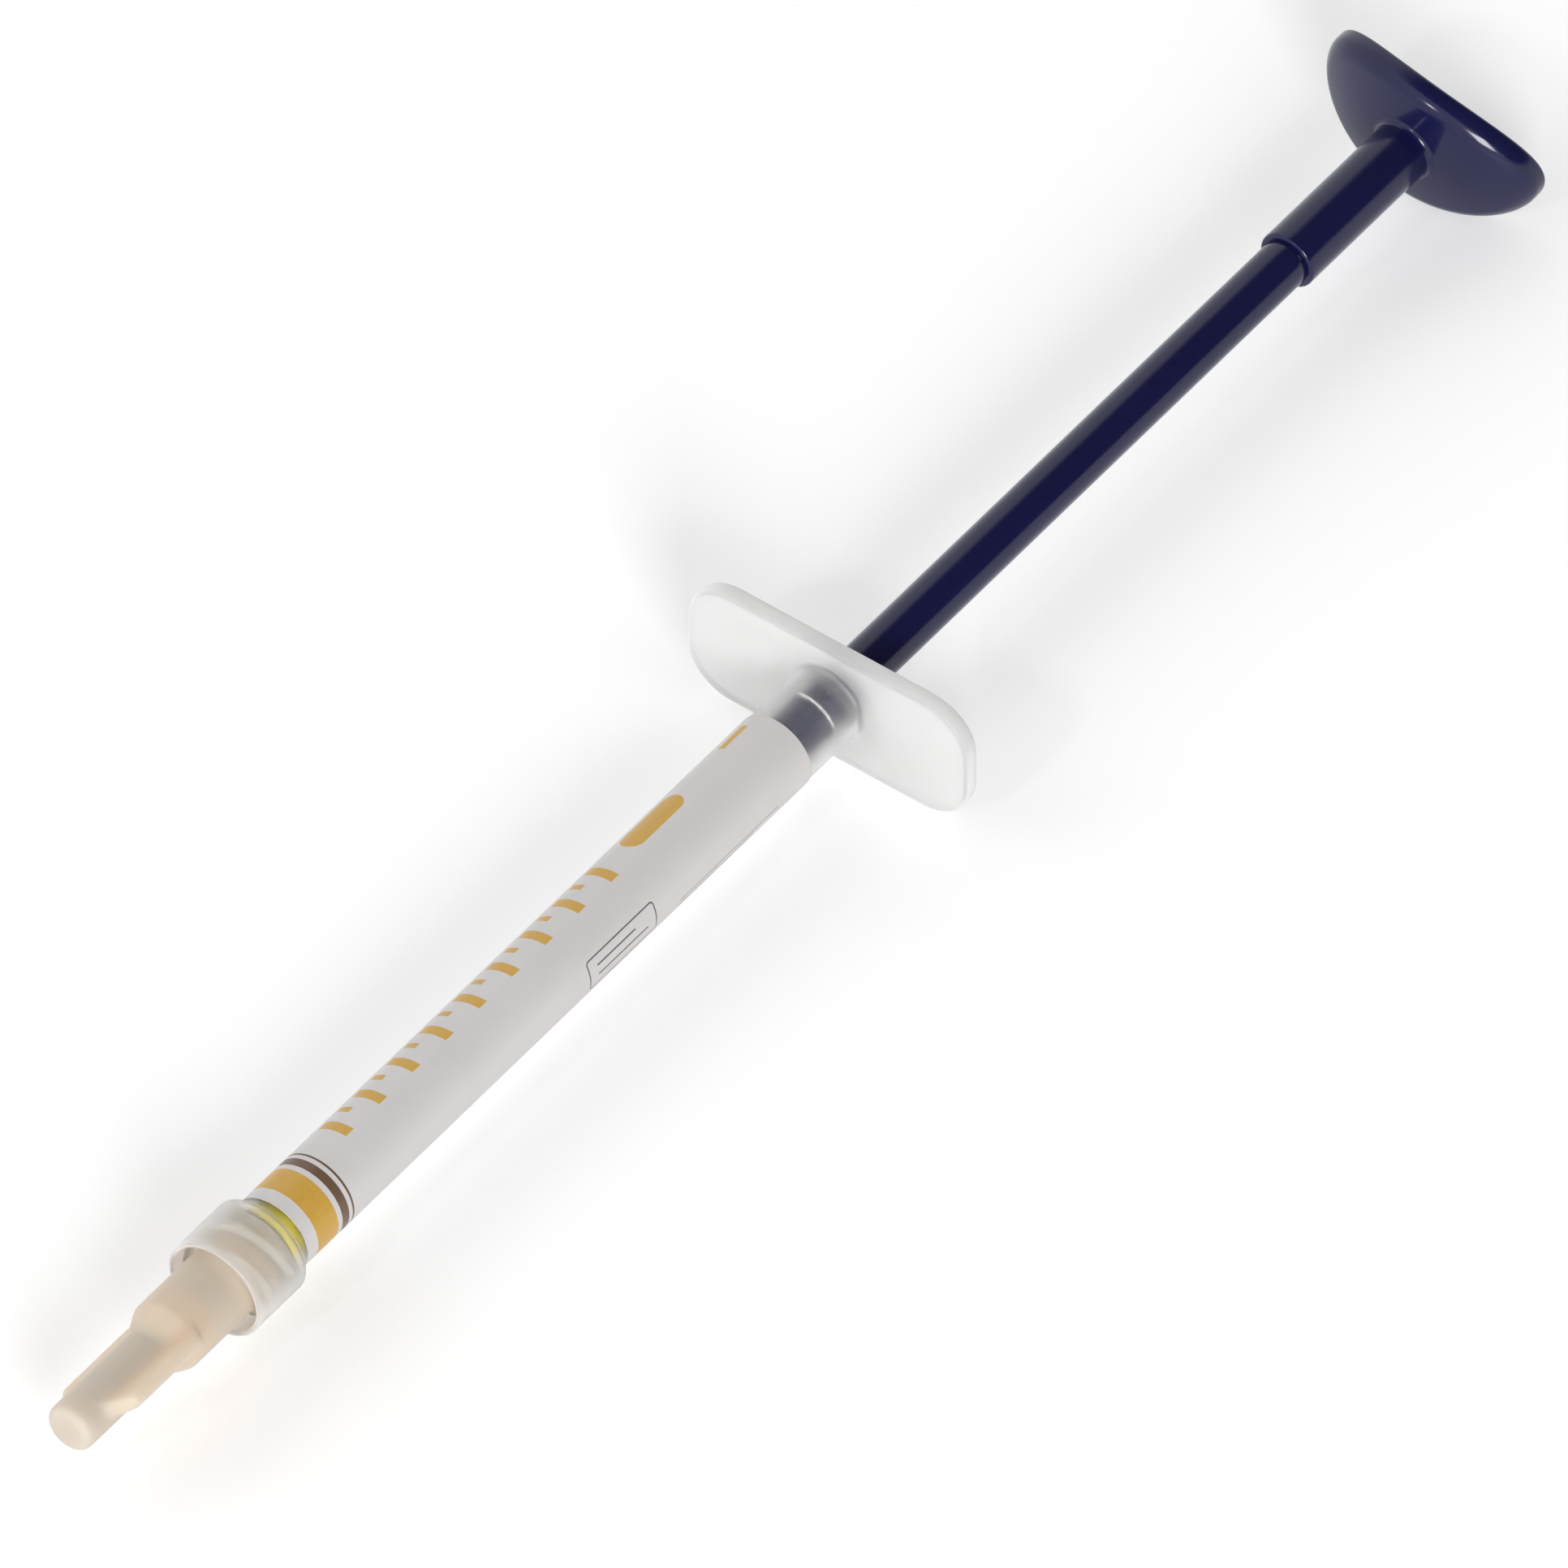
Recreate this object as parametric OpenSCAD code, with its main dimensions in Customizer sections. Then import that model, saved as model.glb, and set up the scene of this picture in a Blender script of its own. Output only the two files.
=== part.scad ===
// Dental paste syringe, lying on a table with its nozzle towards -X, in millimetres.
// The barrel's axis runs along X and the finger flange's length along Y. Z = 0 is the lowest point.

/* [Barrel] */
// Diameter of the bore
bore_d = 4.7; // [4.3:0.1:5.4]
// Wall of the barrel tube
barrel_wall = 0.85; // [0.6:0.05:0.95]
// Length of the tube from the finger flange to the floor of the collar
barrel_len = 69.4; // [40:0.2:90]
// Thickness of the wall that closes the front of the bore
end_wall = 0.7; // [0.5:0.1:1.5]
// Length of the narrow guide for the rod at the rear of the bore
guide_len = 3.95; // [3:0.05:6]

/* [Nozzle] */
// Diameter of the nozzle at its tip
tip_d = 3.95; // [3.6:0.05:4.2]
// Loss of diameter for each millimetre along the nozzle
taper = 0.06; // [0.02:0.01:0.07]
// Length of the nozzle in front of the collar's floor
nozzle_len = 7.5; // [6.5:0.1:9]
// Diameter of the channel that the paste leaves by
channel_d = 1.6; // [1:0.1:2.2]

/* [Collar] */
// Depth of the collar in front of its floor
collar_depth = 4.8; // [4:0.1:6]
// Thickness of the collar's floor
floor_t = 0.9; // [0.8:0.05:1.9]
// Wall of the collar outside the thread
collar_wall = 0.4; // [0.3:0.05:0.8]
// Diameter at the root of the thread
root_d = 7.6; // [7.2:0.1:8.2]
// Height of the thread
thread_h = 0.35; // [0.2:0.05:0.4]
// Advance of the thread in one turn
thread_lead = 5; // [4:0.5:5.5]
// Part of a turn that each of the two threads makes
thread_turn = 0.75; // [0.3:0.05:0.75]
// Width of the thread at its root
thread_w = 1.1; // [0.8:0.1:1.3]
// Width of the thread at its crest
crest_w = 0.5; // [0.3:0.1:0.7]

/* [Finger flange] */
// Length of the flange from end to end
flange_len = 25.9; // [20:0.1:32]
// Width of the flange
flange_w = 11; // [9:0.1:14]
// Radius of the flange's corners
flange_corner = 4; // [1:0.1:4.4]
// Thickness of the flange
flange_t = 1.5; // [1.2:0.1:2.5]
// Radius of the fillet between the flange and the tube
flange_fillet = 0.5; // [0.2:0.1:1]

/* [Label] */
// Bare tube between the collar and the label
label_gap = 1.3; // [0.3:0.05:20]
// Thickness of the label film
label_t = 0.1; // [0.06:0.02:0.2]
// Bare tube between the label and the finger flange
label_setback = 6.2; // [5:0.1:7]
// Gap between the label's two long edges
label_seam = 0.5; // [0.3:0.1:2]

/* [Cap] */
// Space left in the collar behind the cap
cap_setback = 1.3; // [0.6:0.1:2]
// Wall of the hub around the nozzle, at its mouth
hub_wall = 0.8; // [0.6:0.05:1]
// Length of the hub
hub_len = 9.1; // [8.3:0.1:11]
// Length of the cone from the hub down to the nose
hub_cone_len = 2.3; // [1:0.1:4]
// Diameter of the hollow in the nose
core_d = 2.6; // [2:0.1:3]
// Wall of the nose
nose_wall = 0.7; // [0.5:0.05:0.9]
// Length of the nose in front of the cone
nose_len = 9.5; // [8:0.1:12]
// Thickness of the closed end
closed_end = 2.4; // [1.2:0.1:4]
// Radius that rounds the closed end's edge
end_round = 0.4; // [0.2:0.1:1]
// Width across the two grip fins
fin_span = 8; // [6:0.1:8.2]
// Thickness of the grip fins
fin_t = 1.25; // [0.8:0.05:2]
// Distance from the closed end to the start of the fins
fin_start = 2.9; // [2:0.1:4]
// Length of the fins along the nose
fin_len = 9.6; // [5:0.1:11]
// Length of the ramp at each end of the fins
fin_ramp = 0.9; // [0.3:0.1:1.4]
// Angle of the fins from the flange's length
fin_turn = -30; // [-90:1:90]

/* [Plunger] */
// Space between the rod and the bore all round
rod_gap = 0.35; // [0.25:0.05:0.5]
// Diameter of the neck behind the rod's head
neck_d = 2.2; // [1.6:0.1:2.4]
// Length of the neck
neck_len = 1; // [0.6:0.1:1.5]
// Diameter of the rod's head
head_d = 3.1; // [2.7:0.1:3.3]
// Length of the rod's head
head_len = 1.9; // [1.2:0.1:2.2]

/* [Stopper] */
// Length of the stopper
stopper_len = 5; // [4.2:0.1:8]
// Space between the stopper and the rod's guide behind it
stopper_setback = 4.55; // [0.5:0.05:30]
// Width of each sealing rib
rib_w = 1.1; // [0.6:0.1:1.6]
// Height of each sealing rib
rib_h = 0.22; // [0.1:0.02:0.35]

/* [Thumb rest] */
// Step from the rod out to the sleeve
sleeve_step = 0.45; // [0.3:0.05:0.8]
// Length of the sleeve in front of the thumb plate
sleeve_len = 14.9; // [13:0.1:20]
// Step from the rod in to the spigot inside the sleeve
spigot_step = 0.5; // [0.3:0.05:0.9]
// Length of the spigot inside the sleeve
spigot_len = 12; // [6:0.5:15]
// Length of the thumb plate
thumb_len = 19.8; // [16:0.1:24]
// Width of the thumb plate
thumb_w = 11.8; // [10:0.1:14]
// Thickness of the thumb plate
thumb_t = 1.9; // [1.4:0.1:3]
// Radius of the curve along the thumb plate's underside
thumb_bend_r = 17.2; // [16:0.2:40]
// How far the middle of the thumb plate's underside stands out beyond its long edges
thumb_dome = 0.8; // [0.4:0.1:1.2]
// Radius of the flare from the sleeve to the thumb plate
flare_r = 1.8; // [0.5:0.1:2.5]
// Angle of the thumb plate from the flange's length
thumb_turn = 12; // [-180:1:180]

/* [Clearances] */
// Running clearance between the rod and its guide, all round
rod_play = 0.05; // [0.02:0.01:0.1]
// Clearance between the stopper's ribs and the bore, all round
stopper_play = 0.02; // [0.01:0.01:0.05]
// Clearance between the rod's head and the stopper
head_play = 0.06; // [0.02:0.01:0.1]
// Clearance between the cap and the nozzle's taper
seat_play = 0.05; // [0.02:0.01:0.1]
// Clearance between the cap and the end of the nozzle
cap_gap = 0.3; // [0.1:0.1:0.5]
// Clearance around the paste
paste_play = 0.02; // [0.01:0.01:0.05]
// Space left in front of the stopper when the plunger is home
end_gap = 0.6; // [0.3:0.1:1]
// Space left between the sleeve and the flange when the plunger is home
stop_gap = 0.1; // [0.05:0.05:0.3]
// Clearance under the label
label_play = 0.01; // [0.005:0.005:0.03]
// Clearance between the spigot and its socket
socket_play = 0.02; // [0.01:0.01:0.05]

/* [Hidden] */
$fn = 96;

// Amount by which a cut runs past the face that it opens
over = 0.5;

// Radii of the barrel, its nozzle and what slides in it
bore_r = bore_d / 2;
barrel_r = bore_r + barrel_wall;
rod_r = bore_r - rod_gap;
guide_r = rod_r + rod_play;
tip_r = tip_d / 2;
slope = taper / 2;
nozzle_r = tip_r + slope * nozzle_len;
channel_r = channel_d / 2;
root_r = root_d / 2;
collar_r = root_r + collar_wall;
sleeve_r = rod_r + sleeve_step;
spigot_r = rod_r - spigot_step;

// Stations along the barrel's axis, counted from the flange's front face towards the thumb
tube_front = -barrel_len;
bore_front = tube_front + end_wall;
guide_front = flange_t - guide_len;
tip_front = tube_front - nozzle_len;
rim_front = tube_front - collar_depth;
collar_rear = tube_front + floor_t;
stopper_rear = guide_front - stopper_setback;
stopper_front = stopper_rear - stopper_len;
stroke = stopper_front - end_gap - bore_front;
free_rod = stroke + stop_gap;
sleeve_front = flange_t + free_rod;
plate_front = sleeve_front + sleeve_len;
label_front = collar_rear + label_gap;
label_rear = -label_setback;
label_len = label_rear - label_front;

// Stations and radii of the cap
cap_rear = tube_front - cap_setback;
hub_front = cap_rear - hub_len;
cone_front = hub_front - hub_cone_len;
cap_front = cone_front - nose_len;
socket_front = tip_front - cap_gap;
core_r = core_d / 2;
nose_r = core_r + nose_wall;
socket_r = nozzle_r - slope * cap_setback + seat_play;
hub_r = socket_r + hub_wall;

// The thread has two starts, each drawn as a chain of flat-sided links that sinks into the collar's wall
thread_links = 24;
thread_sink = collar_wall / 2;
thread_front = rim_front + thread_w / 2;

// The thumb plate is an ellipse from behind, bent backwards along its length and domed across it
thumb_half_l = thumb_len / 2;
thumb_half_w = thumb_w / 2;
thumb_sides = 96;
thumb_back_r = thumb_bend_r - thumb_t;
thumb_dome_r = (thumb_half_w * thumb_half_w + thumb_dome * thumb_dome) / (2 * thumb_dome);
thumb_sag = thumb_back_r - sqrt(thumb_back_r * thumb_back_r - thumb_half_l * thumb_half_l);
plate_rear = plate_front + thumb_t + thumb_sag;

// How far the turned ellipse reaches below the axis
thumb_drop = norm([thumb_half_l * sin(thumb_turn), thumb_half_w * cos(thumb_turn)]);

// The axis lies as high as the widest piece needs, and the origin is under the middle of the length
axis_z = max(flange_w / 2, thumb_drop, collar_r);
middle = (cap_front + plate_rear) / 2;

// Puts a piece that stands along Z, with z = 0 at the flange's front face, on the barrel's axis
module on_axis() {
  translate([-middle, 0, axis_z]) rotate([0, 90, 0]) children();
}

// Solid of revolution between two stations, with a radius at each
module spindle(from, to, r_from, r_to) {
  translate([0, 0, from]) cylinder(h = to - from, r1 = r_from, r2 = r_to);
}

// Plate outline with rounded corners, its length along Y
module flange_outline() {
  corner_x = flange_w / 2 - flange_corner;
  corner_y = flange_len / 2 - flange_corner;
  square([flange_w, 2 * corner_y], center = true);
  square([2 * corner_x, flange_len], center = true);
  for (x = [-corner_x, corner_x], y = [-corner_y, corner_y]) translate([x, y]) circle(r = flange_corner);
}

// Oval outline of the thumb plate, its length along Y
module thumb_outline() {
  step = 360 / thumb_sides;
  polygon([for (i = [0 : thumb_sides - 1]) [thumb_half_w * cos(i * step), thumb_half_l * sin(i * step)]]);
}

// Section across the thumb plate: distance from the axis of its bend along x, width along y
module thumb_section() {
  intersection() {
    translate([thumb_bend_r - thumb_dome_r, 0]) difference() {
      circle(r = thumb_dome_r);
      circle(r = thumb_dome_r - thumb_t);
    }
    translate([0, -thumb_w]) square([thumb_bend_r, 2 * thumb_w]);
  }
}

// Solid turned from a half section: radius along x, station along y
module turned(section) {
  rotate_extrude() polygon(section);
}

// Hollow fillet between a shaft of radius r and a plate with its face at the station z, sunk into the plate
module fillet_ring(z, r, fillet, sink) {
  translate([0, 0, z]) rotate_extrude() difference() {
    translate([r - fillet, -fillet]) square([2 * fillet, fillet + sink]);
    translate([r + fillet, -fillet]) circle(r = fillet);
  }
}

// One start of the right-hand thread, as a four-sided section carried along a helix
module thread_ridge() {
  outer_r = root_r + thread_sink;
  crest_r = root_r - thread_h;
  half_w = thread_w / 2;
  half_crest = crest_w / 2;
  section = [[outer_r, -half_w], [outer_r, half_w], [crest_r, half_crest], [crest_r, -half_crest]];
  sides = len(section);
  points = [for (i = [0 : thread_links], p = section)
    let (angle = 360 * thread_turn * i / thread_links)
    [p[0] * cos(angle), p[0] * sin(angle), thread_front + thread_lead * angle / 360 + p[1]]];
  walls = [for (i = [0 : thread_links - 1], k = [0 : sides - 1])
    let (a = i * sides + k, b = i * sides + (k + 1) % sides)
    each [[a, b, b + sides], [a, b + sides, a + sides]]];
  last = thread_links * sides;
  ends = [[0, 2, 1], [0, 3, 2], [last, last + 1, last + 2], [last, last + 2, last + 3]];
  polyhedron(points, concat(walls, ends));
}

// Tube, collar, nozzle and finger flange are one translucent moulding
module barrel() {
  nozzle = [[0, tip_front], [tip_r, tip_front], [nozzle_r, tube_front]];
  cup = [[root_r, tube_front], [root_r, rim_front], [collar_r, rim_front], [collar_r, collar_rear]];
  tube = [[barrel_r, collar_rear], [barrel_r, flange_t], [0, flange_t]];
  color([0.9, 0.89, 0.87, 0.6]) on_axis() difference() {
    union() {
      turned(concat(nozzle, cup, tube));
      for (start = [0, 180]) rotate(start) thread_ridge();
      linear_extrude(flange_t) flange_outline();
      fillet_ring(0, barrel_r, flange_fillet, flange_t / 2);
    }
    spindle(bore_front, guide_front, bore_r, bore_r);
    spindle(guide_front - over, flange_t + over, guide_r, guide_r);
    spindle(tip_front - over, bore_front + over, channel_r, channel_r);
  }
}

// Printed film wrapped once round the tube, with its seam underneath
module label() {
  inner_r = barrel_r + label_play;
  outer_r = inner_r + label_t;
  cut_len = label_len + 2 * over;
  color([0.95, 0.94, 0.92]) on_axis() difference() {
    spindle(label_front, label_rear, outer_r, outer_r);
    spindle(label_front - over, label_rear + over, inner_r, inner_r);
    translate([0, -label_seam / 2, label_front - over]) cube([2 * outer_r, label_seam, cut_len]);
  }
}

// Outside of the cap as a half section: radius along x, station along y
module cap_section() {
  round_y = cap_front + end_round;
  nose = [[0, round_y], [nose_r, round_y], [nose_r, cone_front]];
  hub = [[hub_r, hub_front], [hub_r, cap_rear], [0, cap_rear]];
  polygon(concat(nose, hub));
  translate([0, cap_front]) square([nose_r - end_round, nose_len]);
  translate([nose_r - end_round, round_y]) circle(r = end_round);
}

// Two opposite grip fins, drawn as one plate through the nose
module cap_fins() {
  fin_front = cap_front + fin_start;
  fin_rear = fin_front + fin_len;
  half = fin_span / 2;
  side = [[0, fin_front], [half - fin_ramp, fin_front], [half, fin_front + fin_ramp],
          [half, fin_rear - fin_ramp], [half - fin_ramp, fin_rear], [0, fin_rear]];
  rotate([0, 0, fin_turn]) rotate([90, 0, 90]) for (hand = [0, 1]) mirror([hand, 0, 0])
    translate([0, 0, -fin_t / 2]) linear_extrude(fin_t) polygon(side);
}

// Cap with a finned hollow nose and a hub that seats on the nozzle's taper inside the collar
module cap() {
  socket_end_r = tip_r - slope * cap_gap + seat_play;
  mouth_r = socket_r + slope * over;
  color([0.9, 0.87, 0.82, 0.7]) on_axis() difference() {
    union() {
      rotate_extrude() cap_section();
      cap_fins();
    }
    spindle(socket_front, cap_rear + over, socket_end_r, mouth_r);
    spindle(cap_front + closed_end, socket_front + over, core_r, core_r);
  }
}

// Round rod with a headed neck for the stopper and a spigot for the thumb rest
module plunger_rod() {
  neck_front = stopper_rear - neck_len;
  head_front = neck_front - head_len;
  neck_r = neck_d / 2;
  spigot_rear = sleeve_front + spigot_len;
  head = [[0, head_front], [neck_r, head_front], [head_d / 2, neck_front]];
  neck = [[neck_r, neck_front], [neck_r, stopper_rear]];
  rod = [[rod_r, stopper_rear], [rod_r, sleeve_front]];
  spigot = [[spigot_r, sleeve_front], [spigot_r, spigot_rear], [0, spigot_rear]];
  color([0.07, 0.07, 0.2]) on_axis() turned(concat(head, neck, rod, spigot));
}

// Oval plate, curved for the thumb, with the sleeve that takes the rod's spigot
module thumb_rest() {
  bend_z = plate_front + thumb_bend_r;
  socket_wall_r = spigot_r + socket_play;
  socket_floor = sleeve_front + spigot_len + socket_play;
  color([0.08, 0.08, 0.22]) on_axis() rotate([0, 0, thumb_turn]) difference() {
    union() {
      intersection() {
        translate([0, 0, plate_front]) linear_extrude(plate_rear - plate_front) thumb_outline();
        translate([0, 0, bend_z]) rotate([0, 90, 0]) rotate_extrude() thumb_section();
      }
      spindle(sleeve_front, plate_front + thumb_t / 2, sleeve_r, sleeve_r);
      fillet_ring(plate_front + thumb_t / 2, sleeve_r, flare_r, 0);
    }
    spindle(sleeve_front - over, socket_floor, socket_wall_r, socket_wall_r);
  }
}

// Rubber stopper with two sealing ribs, snapped over the rod's head
module stopper() {
  rib_r = bore_r - stopper_play;
  core_body_r = rib_r - rib_h;
  mouth_r = neck_d / 2 + head_play;
  head_rear = stopper_rear - neck_len;
  pocket_front = head_rear - head_len - head_play;
  color([0.12, 0.12, 0.13]) on_axis() difference() {
    union() {
      spindle(stopper_front, stopper_rear, core_body_r, core_body_r);
      spindle(stopper_front, stopper_front + rib_w, rib_r, rib_r);
      spindle(stopper_rear - rib_w, stopper_rear, rib_r, rib_r);
    }
    spindle(head_rear, stopper_rear + over, mouth_r, mouth_r);
    spindle(pocket_front, head_rear + head_play, mouth_r, head_d / 2 + 2 * head_play);
  }
}

// Paste that fills the bore in front of the stopper and the channel of the nozzle
module paste() {
  fill_r = bore_r - paste_play;
  thread_r = channel_r - paste_play;
  color([0.86, 0.76, 0.28]) on_axis() {
    spindle(bore_front + paste_play, stopper_front - paste_play, fill_r, fill_r);
    spindle(tip_front + paste_play, bore_front + over, thread_r, thread_r);
  }
}

barrel();
label();
cap();
plunger_rod();
thumb_rest();
stopper();
paste();
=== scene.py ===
"""Looks of a dental paste syringe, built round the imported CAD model.

Every piece is in the CAD frame, in metres.
"""

import math

import bmesh
import bpy
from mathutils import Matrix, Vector


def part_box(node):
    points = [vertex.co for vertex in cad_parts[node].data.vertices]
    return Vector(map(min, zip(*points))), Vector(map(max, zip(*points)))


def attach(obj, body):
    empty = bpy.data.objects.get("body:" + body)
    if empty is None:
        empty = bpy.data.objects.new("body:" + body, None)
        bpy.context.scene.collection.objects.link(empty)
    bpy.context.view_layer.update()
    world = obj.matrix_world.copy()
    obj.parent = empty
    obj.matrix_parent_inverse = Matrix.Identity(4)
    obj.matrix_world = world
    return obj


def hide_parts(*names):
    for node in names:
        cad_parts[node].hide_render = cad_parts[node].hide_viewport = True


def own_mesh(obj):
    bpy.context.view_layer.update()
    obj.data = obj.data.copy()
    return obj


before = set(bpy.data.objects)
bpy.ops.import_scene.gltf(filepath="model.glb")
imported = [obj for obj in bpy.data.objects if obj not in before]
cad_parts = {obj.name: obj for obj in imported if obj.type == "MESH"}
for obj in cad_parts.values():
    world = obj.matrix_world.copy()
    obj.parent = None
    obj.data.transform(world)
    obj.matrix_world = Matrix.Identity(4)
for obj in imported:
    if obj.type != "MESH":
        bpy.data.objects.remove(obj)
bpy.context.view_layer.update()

MM = 0.001


def box_mm(node):
    """Lowest and highest corner of a CAD node, in millimetres."""
    low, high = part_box(node)
    return low / MM, high / MM


# Where the CAD pieces are, in millimetres
BARREL_LOW, BARREL_HIGH = box_mm("barrel")
LABEL_LOW, LABEL_HIGH = box_mm("label")
CAP_LOW, CAP_HIGH = box_mm("cap")
ROD_LOW, ROD_HIGH = box_mm("plunger_rod")
THUMB_X = box_mm("thumb_rest")[0].x
STOPPER_LOW, STOPPER_HIGH = box_mm("stopper")
PASTE_LOW, PASTE_HIGH = box_mm("paste")
AXIS_Z = (ROD_LOW.z + ROD_HIGH.z) / 2

# Sizes of the part's source, in millimetres and degrees
BORE_R = 2.35
BARREL_R = 3.2
GUIDE_R = 2.05
GUIDE_LEN = 3.95
END_WALL = 0.7
TIP_R = 1.975
NOZZLE_R = 2.2
NOZZLE_LEN = 7.5
CHANNEL_R = 0.8
COLLAR_R = 4.2
ROOT_R = 3.8
COLLAR_DEPTH = 4.8
FLOOR_T = 0.9
THREAD_H = 0.35
THREAD_LEAD = 5.0
THREAD_TURN = 270.0
THREAD_W = 1.1
CREST_W = 0.5
FLANGE_LEN = 25.9
FLANGE_W = 11.0
FLANGE_T = 1.5
FLANGE_CORNER = 4.0
FLANGE_FILLET = 0.5
LABEL_T = 0.1
LABEL_SEAM = 0.5
HUB_R = 3.011
HUB_LEN = 9.1
CONE_LEN = 2.3
NOSE_R = 2.0
CORE_R = 1.3
CLOSED_END = 2.4
SOCKET_R = 2.211
SOCKET_END_R = 2.016
CAP_GAP = 0.3
FIN_HALF = 4.0
FIN_T = 1.25
FIN_START = 2.9
FIN_LEN = 9.6
FIN_RAMP = 0.9
FIN_TURN = -30.0
ROD_R = 2.0
NECK_R = 1.1
NECK_LEN = 1.0
HEAD_R = 1.55
HEAD_LEN = 1.9
SPIGOT_R = 1.5
SPIGOT_LEN = 12.0
SLEEVE_R = 2.45
SLEEVE_LEN = 14.9
THUMB_HALF_L = 9.9
THUMB_HALF_W = 5.9
THUMB_T = 1.9
THUMB_BEND_R = 17.2
THUMB_DOME = 0.8
THUMB_TURN = 12.0
RIB_R = 2.33
RIB_H = 0.22
RIB_W = 1.1
HEAD_PLAY = 0.06
PLAY = 0.02

# Stations along the axis that several pieces share, in millimetres
TIP_X = BARREL_LOW.x
FLOOR_X = TIP_X + NOZZLE_LEN
RIM_X = FLOOR_X - COLLAR_DEPTH
COLLAR_REAR_X = FLOOR_X + FLOOR_T
BORE_X = FLOOR_X + END_WALL
FLANGE_REAR_X = BARREL_HIGH.x
FLANGE_X = FLANGE_REAR_X - FLANGE_T
GUIDE_X = FLANGE_REAR_X - GUIDE_LEN
PLATE_X = THUMB_X + SLEEVE_LEN

# Soft edges of the barrel, in millimetres. Pairs are offsets from a sharp corner, along the axis and outwards
CHANNEL_SOFT = 0.12
CHANNEL_END_SOFT = 0.1
TIP_SOFT = 0.18
NOZZLE_FILLET = 0.3
NOZZLE_SUNK = 0.01
COLLAR_CORNER = 0.15
COLLAR_SOFT = 0.22
RIM_SOFT = 0.14
RIM_CHAMFER = ((0.16, 0.0), (0.06, 0.06), (0.0, 0.15))
TUBE_FILLET = 0.2
FLANGE_SOFT = 0.3
MOUTH_SOFT = 0.25
BORE_CORNER = 0.3
GUIDE_SLOPE_TOP = ((0.3, 0.0), (0.2, 0.01))
GUIDE_SLOPE_FOOT = ((-0.05, -0.04), (-0.15, 0.0))

# Soft edges of the other pieces, in the same way
CORE_SOFT = 0.3
SOCKET_SOFT = 0.1
SOCKET_MOUTH = ((-0.3, 0.0), (-0.05, 0.08), (0.0, 0.2))
HUB_SOFT = 0.15
NOSE_SOFT = 0.7
HEAD_SOFT = 0.15
NECK_SOFT = 0.05
SHOULDER_SOFT = 0.2
ROD_END_SOFT = 0.1
SPIGOT_TIP = ((-0.4, 0.0), (-0.05, -0.3), (0.0, -0.4))
SLEEVE_SOFT = 0.28
SLEEVE_MOUTH = ((0.2, 0.0), (0.0, 0.15))
THUMB_FLARE = 0.3
THUMB_FRONT_SOFT = 1.1
THUMB_REAR_SOFT = 0.6
STOPPER_MOUTH_SOFT = 0.1
RIB_END_SOFT = 0.3
RIB_INNER_SOFT = 0.15
RIB_REAR_FOOT = ((-0.12, 0.02), (-0.3, 0.0))
RIB_FRONT_FOOT = ((0.3, 0.0), (0.12, 0.02))
PASTE_SOFT = 0.1
PASTE_TIP_SOFT = 0.2

# Gap between the paste in the bore and the paste in the channel, in millimetres
PASTE_BREAK = 0.05

# Small rings round the poles of flat ends: radii in millimetres, and shares of the end's radius
SPIGOT_POLE_R = 0.5
STOPPER_POLE_R = 0.6
PASTE_POLE_R = 0.8
POLE_SHARE = 0.5
NOSE_POLE_SHARE = 0.3
THUMB_POLE_SHARE = 0.06

# Edges that turn by more than this many degrees are shaded as sharp
SHARP_ANGLE = 40
# Halvings of a ray in the search for where it leaves a shape
RAY_HALVINGS = 36


def evenly(count):
    """Angles in degrees, evenly spread round the axis. Zero is +Y and a quarter turn is +Z."""
    return [360 * i / count for i in range(count)]


def steps_between(low, high, count):
    """Numbers from low to high, both included."""
    return [low + (high - low) * i / count for i in range(count + 1)]


def ring(x, radius, angles):
    """One ring round the axis: x is a station and radius a length, or each a function of the angle."""
    points = []
    for angle in angles:
        r = radius(angle) if callable(radius) else radius
        station = x(angle) if callable(x) else x
        a = math.radians(angle)
        points.append((station * MM, r * math.cos(a) * MM, (AXIS_Z + r * math.sin(a)) * MM))
    return points


def turned(outline, angles):
    """Rings round the axis, one for each station and radius of an outline."""
    return [ring(x, r, angles) for x, r in outline]


def pole(x):
    """The point on the axis that closes a piece's end."""
    return [(x * MM, 0, AXIS_Z * MM)]


def corner(x, r, soft, start, end, steps):
    """Rounds the sharp corner at station x and radius r, from one direction in degrees to another."""
    middle = math.radians((start + end) / 2)
    centre_x = x - math.copysign(soft, math.cos(middle))
    centre_r = r - math.copysign(soft, math.sin(middle))
    turns = [math.radians(t) for t in steps_between(start, end, steps)]
    return [(centre_x + soft * math.cos(t), centre_r + soft * math.sin(t)) for t in turns]


def beside(x, r, offsets):
    """Stations and radii that lie by given offsets beside a corner."""
    return [(x + along, r + outwards) for along, outwards in offsets]


def straight(low, high, r, count):
    """Stations along a straight wall. Where they begin and end only spaces the mesh."""
    return [(x, r) for x in steps_between(low, high, count)]


def add_piece(name, verts, faces, places=None):
    """A smooth closed piece with its faces outwards. places gives the points' spots on the label."""
    mesh = bpy.data.meshes.new(name)
    mesh.from_pydata(verts, [], faces)
    if places:
        uv = mesh.uv_layers.new(name="print_mm")
        for loop in mesh.loops:
            uv.data[loop.index].uv = places[loop.vertex_index]
    work = bmesh.new()
    work.from_mesh(mesh)
    bmesh.ops.recalc_face_normals(work, faces=work.faces)
    work.to_mesh(mesh)
    work.free()
    mesh.polygons.foreach_set("use_smooth", [True] * len(mesh.polygons))
    mesh.set_sharp_from_angle(angle=math.radians(SHARP_ANGLE))
    piece = bpy.data.objects.new(name, mesh)
    bpy.context.scene.collection.objects.link(piece)
    return piece


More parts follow.
